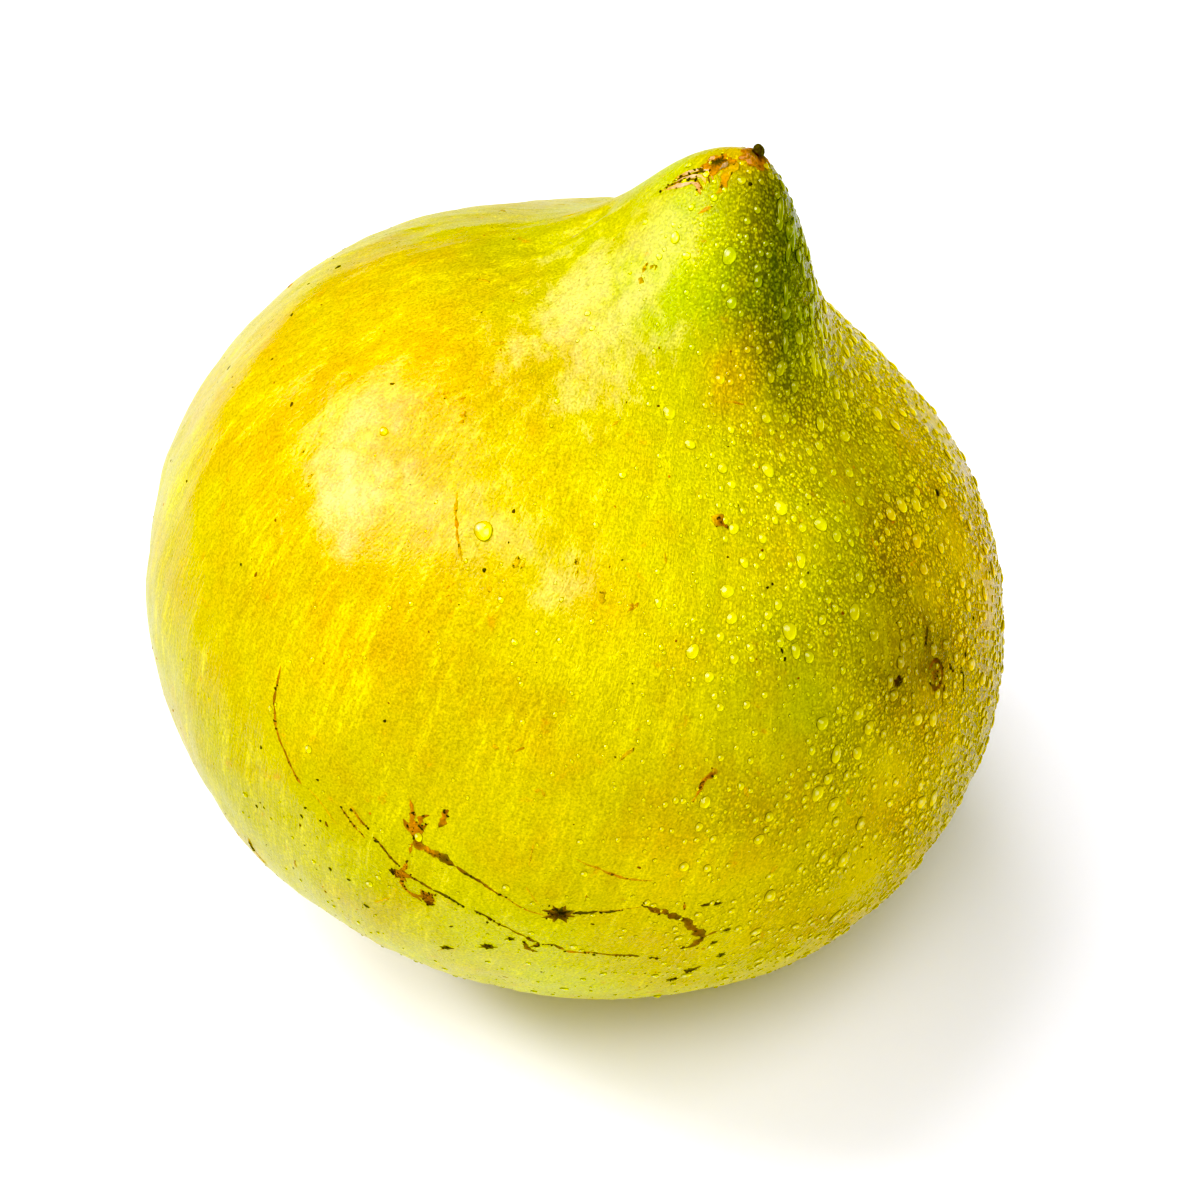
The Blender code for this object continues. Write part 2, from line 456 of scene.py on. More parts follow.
skin = {
    "rings": 285,
    "meridians": 340,
    "streakSquash": 0.08,  # how much shorter a degree of latitude is than it looks, so noise makes streaks
    "paleStreak": (0.86, 0.78, 0.085),
    "rustFleck": (0.60, 0.27, 0.008),
    "warmTint": (1.0, 0.78, 1.0),  # multiplies the colour of warm blotches
    "dashTone": (0.88, 1.09),  # the darkest and the brightest of the drawn-out dashes, and of the grain
    "grainTone": (0.70, 1.22),
    # painted light in the middle of the smallest beads of water and painted shade at their edge
    "beadLightAndShade": (1.65, 0.48),  # at the middle and at the edge of the smallest beads of water
    "beadScale": 3200.0,
    "grainScale": 4800.0,
    "ribs": 0.06 * mm,  # the depths of the bumps
    "pits": 0.09 * mm,
    "pores": 0.05 * mm,
    "beads": 0.09 * mm,
    "roughness": (0.27, 0.44),
    "wetGloss": 0.12,  # how much less rough the wet skin is
    "ior": 1.45,
}


# Waxy skin. Its tint comes from the points, and noise multiplies it by warmTint in blotches. Noise drawn out
# along the meridians lays pale streaks on it, rare flecks are rust, and finer noise darkens and lightens it.
# Where it is wet, small round cells stand up, with painted light in the middle and painted shade at the
# edge.
def skinMaterial():
    material, tree, shader = newMaterial("waxySkin")
    along = attributeNode(tree, "meridian", "Vector")
    dashes = stretchNode(tree, along, (1.0, 1.0, 2.2))
    place = placeNode(tree)
    tint = attributeNode(tree, "tint", "Color")
    wet = attributeNode(tree, "wet", "Fac")
    streaks = noiseNode(tree, along, 0.75, 5.0, 0.62)
    fineStreaks = noiseNode(tree, along, 4.2, 3.0, 0.6)
    dashed = noiseNode(tree, dashes, 3.4, 3.0, 0.62)
    blotch = noiseNode(tree, place, 130.0, 3.0, 0.6)
    flecks = noiseNode(tree, place, 520.0, 4.0, 0.65)
    grain = noiseNode(tree, place, skin["grainScale"], 2.0, 0.6)
    beads = cellNode(tree, place, skin["beadScale"])

    warmth = rangeNode(tree, blotch, 0.0, 0.7, 0.44, 0.68)
    warm = blendNode(tree, warmth, tint, skin["warmTint"], "MULTIPLY")
    pale = mathNode(tree, "MULTIPLY", rangeNode(tree, streaks, 0.0, 0.5, 0.48, 0.72),
                    rangeNode(tree, dashed, 0.35, 1.0, 0.4, 0.6))
    streaked = blendNode(tree, pale, warm, skin["paleStreak"])
    rusty = blendNode(tree, rangeNode(tree, flecks, 0.0, 0.55, 0.64, 0.72), streaked, skin["rustFleck"])
    tone = mathNode(tree, "MULTIPLY", rangeNode(tree, dashed, *skin["dashTone"]),
                    rangeNode(tree, grain, *skin["grainTone"]))
    toned = blendNode(tree, 1.0, rusty, tone, "MULTIPLY")
    # painted light and shade of the small wet beads
    beadLightAndShade = rangeNode(tree, beads, *skin["beadLightAndShade"], 0.12, 0.60)
    paintedBeads = blendNode(tree, wet, toned, blendNode(tree, 1.0, toned, beadLightAndShade, "MULTIPLY"))

    dry = mathNode(tree, "ADD", rangeNode(tree, dashed, *skin["roughness"]),
                   rangeNode(tree, streaks, -0.05, 0.06))
    rough = mathNode(tree, "SUBTRACT", dry, mathNode(tree, "MULTIPLY", wet, skin["wetGloss"]))
    ribs = bumpNode(tree, fineStreaks, skin["ribs"], 0.8)
    pits = bumpNode(tree, dashed, skin["pits"], 0.8, ribs)
    pores = bumpNode(tree, grain, skin["pores"], 0.8, pits)
    domes = bumpNode(tree, rangeNode(tree, beads, 1.0, 0.0, 0.1, 0.6), skin["beads"], wet, pores)
    setShader(tree, shader, paintedBeads, rough, domes)
    shader.inputs["IOR"].default_value = skin["ior"]
    return material


# The skin: the form and its relief on a grid of directions, with a tint, a wetness and a place along the
# meridians at each point. That place is a circle about as wide as the ring, and the latitude drawn in.
def makeSkin():
    directions = sphereGrid(skin["rings"], skin["meridians"])
    corners, sizes = closedGridFaces(skin["rings"] - 1, skin["meridians"])
    points, tints = skinPoint(directions), skinColour(directions)
    piece = meshObject("fruit_skin", points, corners, sizes, skinMaterial(), tints)
    longitude, latitude = placeOf(directions)
    turn = np.radians(longitude)
    wide = fruitShape["bodyRadius"] / mm * np.clip(np.cos(np.radians(latitude)), 0.12, 1) ** 0.5
    drawnIn = (90 - latitude) * skin["streakSquash"]
    wet = np.clip(1.25 * wetness(directions) - 0.15, 0, 1)
    setAttribute(piece.data, "wet", "FLOAT", "value", wet)
    place = np.stack([wide * np.cos(turn), wide * np.sin(turn), drawnIn], -1)
    setAttribute(piece.data, "meridian", "FLOAT_VECTOR", "vector", place)
    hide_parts("fruit")
    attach(piece, "root")
    print("skin:", len(directions), "points")


# A heap gathers closed bodies, and is then made into one mesh with a tint at each point.
def newHeap():
    return {"points": [], "corners": [], "sizes": [], "tints": [], "total": 0}


def addBody(heap, points, corners, sizes, tints):
    points = points.reshape(-1, 3)
    heap["points"].append(points)
    heap["corners"].append(corners + heap["total"])
    heap["sizes"].append(sizes)
    heap["tints"].append(np.clip(tints, 0, 1).reshape(-1, 3))
    heap["total"] += len(points)


def makeHeap(heap, name, material):
    joined = [np.concatenate(heap[key]) for key in ("points", "corners", "sizes")]
    piece = meshObject(name, *joined, material, np.concatenate(heap["tints"]))
    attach(piece, "root")
    print(name + ":", len(heap["points"]), "bodies or fields,", heap["total"], "points")


def withPoles(values, pole):  # the value pole before and after those of each body's rings
    ends = np.full((len(values), 1), pole)
    return np.concatenate([ends, values.reshape(len(values), -1), ends], 1)[..., None]


# Caps on the skin. At t from 0 at the rim to 1 at the top, a ring has the radius cos(90 t) and the height
# sin(90 t). A skirt under the skin closes to one point. The rim is darker by rimShade, as painted shade. A
# weight for painted gathered light makes the side away from the window brighter and the near side darker,
# painted shade, as in a drop that gathers light. A weight for a painted highlight takes a spot on the near
# side that far to its tint.
def addDomes(heap, directions, radius, height, tints, stretch, spin, seed, around, levels,
             lobes=0.12, paintedCaustic=0.0, rimShade=0.0, sink=0.35, paintedGlint=0.0):
    rng = np.random.default_rng(seed)
    count = len(directions)
    middle, east, north, normal = skinFrame(directions)
    longWay = np.cos(spin)[:, None] * east + np.sin(spin)[:, None] * north
    wideWay = np.cross(normal, longWay)
    angle = np.linspace(0, 2 * math.pi, around, endpoint=False)
    phase = rng.uniform(0, 2 * math.pi, (2, count, 1))
    outline = 1 + lobes * (0.6 * np.cos(2 * angle + phase[0]) + 0.4 * np.cos(3 * angle + phase[1]))
    t = np.linspace(0, 1, levels + 1)[:-1] * math.pi / 2
    ringRadius = np.concatenate([[0.96], np.cos(t)])
    ringHeight = np.concatenate([[-sink], np.sin(t)])
    flat = outline[:, None, :] * ringRadius[None, :, None] * radius[:, None, None]
    x = flat * np.cos(angle) * stretch[:, None, None]
    y = flat * np.sin(angle)
    z = ringHeight[None, :, None] * height[:, None, None] + 0 * x
    body = (middle[:, None, None] + x[..., None] * longWay[:, None, None]
            + y[..., None] * wideWay[:, None, None] + z[..., None] * normal[:, None, None])
    under = middle - normal * sink * height[:, None]
    top = middle + normal * height[:, None]
    points = np.concatenate([under[:, None], body.reshape(count, -1, 3), top[:, None]], 1)
    key = lightWay("window")
    towards = np.stack([longWay @ key, wideWay @ key], -1)
    towards = towards / np.maximum(np.linalg.norm(towards, axis=1, keepdims=True), 0.3)
    facing = np.cos(angle) * towards[:, :1] + np.sin(angle) * towards[:, 1:]
    facing = facing[:, None, :] * ringRadius[None, :, None]
    beside = np.cos(angle) * towards[:, 1:] - np.sin(angle) * towards[:, :1]
    beside = beside[:, None, :] * ringRadius[None, :, None]
    rim = np.concatenate([[1, 1], np.zeros(levels - 1)])[None, :, None]
    # painted light and shade from the window's way: gathered light on the far side, shade on the near side
    # and rim
    paintedCausticShade = bell((facing + 0.75) / 0.35) - 0.55 * bell((facing - 0.8) / 0.4)
    shade = withPoles((1 + paintedCaustic * paintedCausticShade) * (1 - rimShade * rim), 1.0)
    # a painted highlight spot on the side toward the window
    spot = withPoles(paintedGlint * bell((facing - 0.5) / 0.25) * bell(beside / 0.3), 0.0)
    tints = np.minimum(tints[:, None] * shade, 0.95) * (1 - spot) + spot * np.array(water["paintedGlintTint"])
    corners, sizes = closedGridFaces(levels + 1, around, turned=True)
    corners = corners[None] + np.arange(count)[:, None] * points.shape[1]
    addBody(heap, points, corners.reshape(-1), np.tile(sizes, count), tints)


# Unit vectors along a smooth curve through longitudes and latitudes (Catmull-Rom), about spacing apart.
def smoothPath(places, spacing):
    knots = directionOf(*np.array(places, float).T)
    ends = np.concatenate([[2 * knots[0] - knots[1]], knots, [2 * knots[-1] - knots[-2]]])
    lengths = np.linalg.norm(np.diff(knots, axis=0), axis=1) * fruitShape["bodyRadius"]
    count = max(7, int(lengths.sum() / spacing))
    reached = np.concatenate([[0], np.cumsum(lengths)])
    s = np.interp(np.linspace(0, reached[-1], count), reached, np.arange(len(knots)))
    i = np.minimum(s.astype(int), len(knots) - 2)
    t = (s - i)[:, None]
    a, b, c, d = ends[i], ends[i + 1], ends[i + 2], ends[i + 3]
    straight = 2 * b + (c - a) * t
    return unit(0.5 * (straight + (2 * a - 5 * b + 4 * c - d) * t**2 + (3 * b - a - 3 * c + d) * t**3))


# Smooth random values along a line or round a ring: a sum of sines of about size samples.
def wander(count, size, rng, ring=False):
    pitch = 2 * math.pi / (size * rng.uniform(0.6, 1.8, 6))
    if ring:
        pitch = np.round(pitch * count / (2 * math.pi)) * 2 * math.pi / count
    return np.sin(np.arange(count)[:, None] * pitch + rng.uniform(0, 2 * math.pi, 6)).sum(1) / 2.4


def alongTints(tints, s):  # the colours spread evenly over s from 0 to 1
    steps = np.linspace(0, 1, len(tints))
    return np.stack([np.interp(s, steps, [tint[channel] for tint in tints]) for channel in range(3)], -1)


# A raised line on the skin: a flattened loop of points is carried along a path. Its width is broken by noise
# and narrows at both ends, its lower half is in the skin, and its edges take some of the skin's own colour.
def addStroke(heap, places, widths, height, tints, rng, rough=0.3, sway=0.18, edge=0.3, around=10):
    spacing = 0.13 * mm
    directions = smoothPath(places, spacing)
    count = len(directions)
    s = np.linspace(0, 1, count)
    middle, _, _, normal = skinFrame(directions)
    ahead = unit(np.gradient(middle, axis=0))
    side = np.cross(normal, ahead)
    width = np.interp(s, np.linspace(0, 1, len(widths)), widths) / 2
    broken = 1 + rough * wander(count, 9, rng) + 0.6 * rough * wander(count, 3.5, rng)
    width = width * np.clip(broken, 0.35, 2)
    tip = np.minimum(s, 1 - s) * count * spacing
    width = width * np.clip(tip / (1.2 * np.mean(widths)), 0.03, 1) ** 0.5
    shift = sway * np.mean(widths) * wander(count, 16, rng)
    angle = np.linspace(0, 2 * math.pi, around, endpoint=False)
    across = np.cos(angle) * width[:, None] + shift[:, None]
    lump = np.clip(1 + 0.3 * rng.normal(size=(count, around)), 0.4, 1.7)
    rise = np.where(np.sin(angle) > 0.01, np.sin(angle) * lump, np.sin(angle) * 0.8 - 0.1)
    rise = rise * height * np.clip(width / (0.5 * np.mean(widths)), 0.1, 1.2)[:, None]
    points = middle[:, None] + across[..., None] * side[:, None] + rise[..., None] * normal[:, None]
    i, j = np.meshgrid(np.arange(count - 1), np.arange(around), indexing="ij")
    k = (j + 1) % around
    here, there = i * around, (i + 1) * around
    quads = np.stack([here + j, here + k, there + k, there + j], -1).reshape(-1)
    first = np.arange(around)[::-1]
    last = np.arange(around) + (count - 1) * around
    sizes = np.concatenate([np.full((count - 1) * around, 4), [around, around]])
    tone = alongTints(tints, s)[:, None] * np.clip(1 + 0.18 * rng.normal(size=(count, around, 1)), 0.4, 1.5)
    mixing = edge * (np.abs(np.cos(angle)) ** 4)[None, :, None]
    tone = tone * (1 - mixing) + skinColour(directions)[:, None] * mixing
    addBody(heap, points, np.concatenate([quads, first, last]), sizes, tone)


# A crust with a ragged outline: its rim is 1 plus noise plus a few lobes, its height falls off as 1 minus
# rho squared, and its underside closes below the skin. Its edge takes some of the skin's own colour.
def addCrust(heap, place, radius, height, tints, rng, spikes=5, spikeLength=0.5, turn=0.0, squash=1.0,
             around=44, levels=6, edge=0.25):
    angle = np.linspace(0, 2 * math.pi, around, endpoint=False)
    lobes = np.abs(np.cos(spikes / 2 * angle)) ** 10 * rng.uniform(0.4, 1.2, around)
    rim = 1 + 0.13 * wander(around, 6, rng, ring=True) + spikeLength * lobes
    rho = np.linspace(0, 1, levels + 1)[1:]
    reach = radius * rho[:, None] * rim[None]
    centre = directionOf(*place)[None]
    middle, east, north, normal = skinFrame(centre)
    distance = np.linalg.norm(middle[0] - fruitCentre)
    x = reach * np.cos(angle) * squash
    y = reach * np.sin(angle)
    x, y = x * math.cos(turn) - y * math.sin(turn), x * math.sin(turn) + y * math.cos(turn)
    eastOnFruit, northOnFruit = (east @ turnMatrix)[0], (north @ turnMatrix)[0]
    directions = unit(centre[0] + (x[..., None] * eastOnFruit + y[..., None] * northOnFruit) / distance)
    dome = (1 - rho[:, None] ** 2) * np.clip(1 + 0.35 * rng.normal(size=x.shape), 0.3, 1.8)
    dome = dome - 0.3 * (rho[:, None] > 0.99)
    body = skinPoint(directions) + normal[0] * (height * dome)[..., None]
    points = np.concatenate([middle + normal * height, body.reshape(-1, 3), middle - normal * height * 0.6])
    corners, sizes = closedGridFaces(levels, around)
    t = np.concatenate([[0], np.repeat(rho, around), [1]])
    tone = alongTints(tints, t) * np.clip(1 + 0.22 * rng.normal(size=(len(t), 1)), 0.3, 1.6)
    mixing = (edge * t**6)[:, None]
    addBody(heap, points, corners, sizes, tone * (1 - mixing) + skinColour(centre) * mixing)


# Rough cork. Its tint comes from the points, broken by black pepper and crumbs.
def corkMaterial():
    material, tree, shader = newMaterial("corkyScar")
    place = placeNode(tree)
    tint = attributeNode(tree, "tint", "Color")
    pepper = noiseNode(tree, place, 2100.0, 3.0, 0.6)
    crumb = noiseNode(tree, place, 6000.0, 2.0, 0.6)
    peppered = blendNode(tree, rangeNode(tree, pepper, 0.0, 0.9, 0.59, 0.64), tint, (0.014, 0.008, 0.004))
    toned = blendNode(tree, 1.0, peppered, rangeNode(tree, crumb, 0.75, 1.2), "MULTIPLY")
    setShader(tree, shader, toned, rangeNode(tree, pepper, 0.45, 0.75), bumpNode(tree, crumb, 0.1 * mm, 0.7))
    return material


rust = (0.46, 0.16, 0.010)
brown = (0.21, 0.060, 0.008)
bark = (0.070, 0.022, 0.008)
soot = (0.020, 0.012, 0.008)
tan = (0.55, 0.33, 0.020)
blush = (0.66, 0.40, 0.22)
moss = (0.11, 0.10, 0.008)

scars = {
    "seed": 41,
    "pepperGap": 0.42 * mm,  # small dark dots strewn on the marks
    "pepperShare": 0.75,
    "pepperRadius": (0.05 * mm, 0.13 * mm),
    "lines": [  # places, widths and height in hundredths of a millimetre, tints along the line
        # the long arc at the left, in pieces
        ([(-47, 8), (-46, 3), (-44, -1), (-39, -5)], [19, 26, 24, 22], 4, [rust, brown, rust, brown, rust]),
        ([(-38, -5), (-36, -6), (-33, -8)], [12, 19, 12], 2, [tan]),
        ([(-33, -5), (-29, -8)], [17, 14], 4, [brown, rust]),
        ([(-32, -4), (-29, -6)], [22, 24], 4, [tan, rust, brown]),
        ([(-28, -7), (-24, -10)], [22, 26], 5, [brown, bark]),
        # a hand of four fingers, and the arm that leads from it to a star
        ([(-25, 1), (-24, -1), (-24, -2)], [30, 42, 60], 6, [rust]),
        ([(-22, 0), (-23, -1), (-23, -2)], [42, 48, 54], 6, [brown, rust]),
        ([(-22, -1), (-23, -3)], [30, 54], 5, [brown, rust]),
        ([(-25, -2), (-24, -3), (-23, -4)], [30, 42, 72], 5, [brown, rust]),
        ([(-24, -1), (-23, -3), (-22, -5), (-20, -5), (-17, -6)], [72, 120, 84, 78, 108, 60], 7,
         [rust, rust, brown, rust, bark, brown]),
        ([(-23, -5), (-23, -7)], [36, 14], 3, [rust]),
        ([(-17, -6), (-14, -7), (-10, -8.5)], [42, 31, 19], 5, [brown, bark, brown, rust]),
        ([(-10, -8.5), (-7, -10), (-4, -10.5)], [14, 17, 12], 3, [tan, rust, tan]),
        ([(-1, -8.8), (0.5, -8.3), (2, -7.5)], [36, 54, 30], 6, [bark, soot, bark]),
        ([(2.5, -7.6), (5, -6.5)], [36, 24], 5, [bark, soot, brown]),
        ([(2, -7.5), (7, -5.5)], [14, 12], 3, [tan]),
        # the hook at the right end
        ([(7, -5), (10, -6), (13, -7), (17, -10), (18, -11)], [50, 65, 60, 75, 100], 9,
         [bark, brown, bark, brown, bark]),
        ([(18, -11), (18, -12), (16.5, -14)], [105, 80, 20], 8, [bark, brown, soot]),
        ([(18, -11), (20, -9.5)], [42, 14], 4, [brown]),
        ([(15, -4.5), (18, -4)], [48, 36], 6, [bark, soot, bark]),
        ([(12.5, -4), (13, -5.5)], [22, 17], 4, [rust]),
        # single marks above the arm
        ([(-20, 2), (-20.5, -1)], [72, 60], 6, [brown, rust, bark]),
        ([(10, 16), (10.8, 15.4), (9.6, 14.6), (9.2, 13.2), (8.4, 11.2)],
         [25, 50, 45, 25, 25], 4, [tan, brown, rust, rust, tan]),
        ([(-3.5, 1), (3, -0.5), (7, -0.5)], [12, 31, 17], 2, [tan, rust, tan]),
        ([(-8, -5.5), (-5.5, -8.5)], [14, 12], 2, [tan]),
        # the lower line, through two crusts
        ([(-23.5, -11), (-23, -8.5)], [42, 22], 5, [rust]),
        ([(-23, -11), (-21, -11.5), (-19, -12)], [29, 26, 34], 5, [rust, bark, brown]),
        ([(-23.5, -12), (-23, -13.5), (-20, -15.5)], [42, 34, 42], 5, [rust, rust, brown]),
        ([(-19, -12), (-17, -12), (-14.5, -13)], [34, 31, 17], 5, [bark, soot]),
        ([(-13, -13), (-10.5, -14)], [36, 19], 5, [bark]),
        ([(-10, -14.5), (-6, -16), (-3, -17.5)], [17, 19, 41], 4, [bark, brown, bark]),
        ([(-5, -18), (-4, -19.5), (-2.5, -20)], [36, 50, 22], 6, [bark, brown, bark]),
        ([(-3, -17.5), (-4, -19)], [38, 29], 5, [brown]),
        ([(-2.5, -17.5), (-1, -17), (1, -18.5)], [17, 24, 29], 4, [brown, bark, rust]),
        ([(1, -18.5), (6, -17.5), (11.5, -17)], [34, 22, 36], 4, [rust, brown, bark]),
        ([(13, -17), (14, -17)], [22, 19], 4, [bark]),
        ([(21, -21), (22, -19)], [31, 26], 5, [bark]),
        ([(-50, -25), (-50.5, -29), (-49, -32)], [17, 24, 14], 5, [tan, rust, tan]),
        # the left shoulder and the right side
        ([(-37.5, 38), (-35, 35), (-31, 31)], [19, 24, 17], 2, [tan, rust, tan]),
        ([(51.5, 30), (50, 27.5)], [42, 17], 6, [soot, bark]),
        ([(59.5, 21.5), (60, 20), (59.5, 18)], [14, 24, 17], 5, [bark, soot]),
        ([(56, 23.5), (57, 22)], [24, 19], 5, [bark]),
        ([(51, 24), (52.5, 25), (54, 24), (54, 22), (52.5, 21), (51, 22)],
         [30, 48, 36, 30, 54, 36], 8, [brown, bark, brown, bark]),
        ([(54.5, 21), (54, 18)], [19, 12], 4, [bark]),
        ([(5, 47.5), (6.5, 47), (9, 46)], [48, 108, 42], 5, [tan, rust, brown]),
        # pale flakes left of the beak's scar, with brown cracks between them, and a smear on its right
        ([(-52, 82), (-41, 83), (-31, 83.2), (-22, 82)], [24, 48, 54, 36], 5, [rust, blush, blush, rust]),
        ([(-52, 81.4), (-42, 82.2), (-32, 82.4), (-25, 81.6)], [18, 36, 42, 24], 5, [brown, blush, tan]),
        ([(-55, 80.7), (-44, 81.5), (-33, 81.6), (-25, 80.8)], [18, 42, 48, 24], 4, [rust, blush, rust]),
        ([(-52, 81.7), (-41, 82.6), (-31, 82.8), (-23, 81.8)], [12, 14, 17, 12], 7, [brown, bark, brown]),
        ([(-54, 81), (-43, 81.9), (-33, 82), (-25, 81.2)], [12, 14, 12, 10], 7, [brown, bark, rust]),
        ([(-22, 79.3), (-18, 79.8), (-15, 80)], [14, 36, 14], 2, [rust, tan]),
        ([(-14, 84.3), (-12, 83.2), (-13, 81.8), (-16, 80.9)], [36, 96, 108, 36], 3, [rust, tan, rust, tan]),
    ],
    "crusts": [  # place, radius and height in hundredths, tints outward, spikes, their length, turn, squash
        ((-23.5, -11.5), 66, 10, [rust, rust, brown], 5, 0.5, 0.4, 1.1),
        ((-24.5, -11.5), 34, 12, [soot, bark], 4, 0.3, 0.0, 1.2),
        ((-19.5, -14), 72, 9, [rust, brown, rust], 5, 0.5, 1.1, 1.0),
        ((-19, -15), 36, 12, [bark, brown], 4, 0.4, 0.0, 1.2),
        ((-2.5, -9.5), 95, 11, [bark, bark, brown], 8, 0.9, 0.7, 1.1),
        ((-2.5, -9), 55, 15, [soot, soot], 6, 1.0, 1.6, 1.0),
        ((-9.5, -21.5), 45, 7, [moss, bark, moss], 7, 0.8, 0.3, 1.3),
        ((-15, -25), 32, 6, [moss, bark], 4, 0.6, 0.3, 1.6),
        ((-7, -17.8), 26, 5, [bark, moss], 5, 0.7, 0.9, 1.3),
        ((20, -24), 34, 5, [moss, bark], 5, 0.6, 0.5, 1.4),
        ((21, -20.5), 42, 6, [bark, moss, bark], 6, 0.6, 0.1, 1.3),
        ((20.5, -12.5), 26, 6, [soot, moss], 4, 0.5, 0.8, 1.2),
        ((21, -9.5), 24, 5, [bark, moss], 4, 0.5, 0.2, 1.5),
        ((23.5, -16), 34, 6, [soot, moss], 5, 0.6, 1.2, 1.2),
        ((43, 24.5), 50, 7, [soot, bark], 5, 0.4, 0.2, 1.2),
        ((52.5, 23), 55, 5, [umber, brown], 5, 0.3, 0.2, 1.0),
        ((-25, 83.8), 100, 12, [bark, brown, rust, rust], 6, 0.3, 0.4, 1.5),
        ((-33, 84.4), 40, 16, [blush, rust], 4, 0.4, 0.9, 1.3),
        ((-18, 83.6), 35, 16, [blush, bark], 4, 0.4, 0.9, 1.6),
        ((-25, 83.9), 45, 20, [soot, bark], 5, 0.5, 0.3, 1.6),
    ],
}


# Each line and crust is strewn with small dark dots, about pepperGap apart along a line.
def makeScars():
    rng = np.random.default_rng(scars["seed"])
    heap = newHeap()
    strewn = []
    bodyRadius = fruitShape["bodyRadius"]
    for places, widths, height, tints in scars["lines"]:
        addStroke(heap, places, np.array(widths) * hundredth, height * hundredth, tints, rng)
        line = smoothPath(places, scars["pepperGap"])
        spread = 0.25 * np.mean(widths) * hundredth / bodyRadius
        clustered = (wander(len(line), 6, rng) > -0.1) & (height > 3)
        strewn.append(unit(line + spread * rng.normal(size=line.shape))[clustered])
    for place, radius, height, tints, *spikes in scars["crusts"]:
        addCrust(heap, place, radius * hundredth, height * hundredth, tints, rng, *spikes)
        dots = rng.normal(size=(int(0.0026 * radius**2) + 3, 3))
        strewn.append(unit(directionOf(*place) + 0.5 * radius * hundredth / bodyRadius * dots))
    strewn = np.concatenate(strewn)
    strewn = strewn[rng.uniform(size=len(strewn)) < scars["pepperShare"]]
    radii = rng.uniform(*scars["pepperRadius"], len(strewn))
    tones = np.array([soot, bark, soot])[rng.integers(0, 3, len(strewn))]
    addDomes(heap, strewn, radii, radii + 0.03 * mm, tones, 1 + rng.uniform(size=len(strewn)),
             rng.uniform(0, 6.28, len(strewn)), scars["seed"], 7, 2, 0.3, sink=0.8)
    makeHeap(heap, "scars", cork)


specks = {
    "seed": 17,
    "dots": 420,
    "dotRadius": 0.085 * mm,  # the middling one, then the smallest and the largest
    "dotRadii": (0.05 * mm, 0.24 * mm),
    "scuffs": 70,
    "scuffHeight": 0.025 * mm,
    "smudgeHeight": 0.02 * mm,
    "smudgeStrokes": 3,
    "smudges": [  # longitude and latitude of the middle, length in degrees, width in mm, tint
        (-23.5, 34, 2.2, 0.8, tan), (-9.5, 34.5, 2.4, 0.9, tan), (-5, 34, 2.2, 0.6, rust),
        (-15.5, 37, 2.0, 0.7, tan), (-48.5, 48.5, 2.0, 0.5, rust), (-45, 46.5, 1.6, 0.6, rust),
        (-51, 47, 1.2, 0.5, rust), (-17, 13, 1.4, 0.6, tan), (-10, 9, 1.4, 0.7, tan),
        (-33, 73.5, 1.6, 0.9, brown), (-30, 74.5, 1.0, 0.5, bark), (-58, 29, 2.0, 0.4, tan),
        (-62, 30, 1.8, 0.4, tan), (-26, 30, 1.5, 0.5, tan), (-66, 40, 2.5, 0.3, rust),
        (-30, 27, 1.2, 0.3, rust),
    ],
    "placed": [  # longitude, latitude and radius in mm of the dark ones that stand out
        (69.5, 44, 0.3), (61, 23, 0.2), (75, 29, 0.2), (18.5, 32, 0.14), (19, 31, 0.14), (19.5, 30, 0.16),
        (16.5, 39, 0.14), (17.5, 39.5, 0.12), (25, 41, 0.12), (-31, 9.5, 0.12), (-37, -3, 0.14),
        (-38, -8.5, 0.14), (-38.5, -10.5, 0.16), (-35.5, -9, 0.12), (-46.5, -15, 0.16), (-45, -14, 0.12),
        (-46.5, -4.5, 0.14), (-33.5, -17.5, 0.2), (-30.5, -17.5, 0.16), (-27.5, -21.5, 0.2), (4, 82, 0.17),
    ],
}


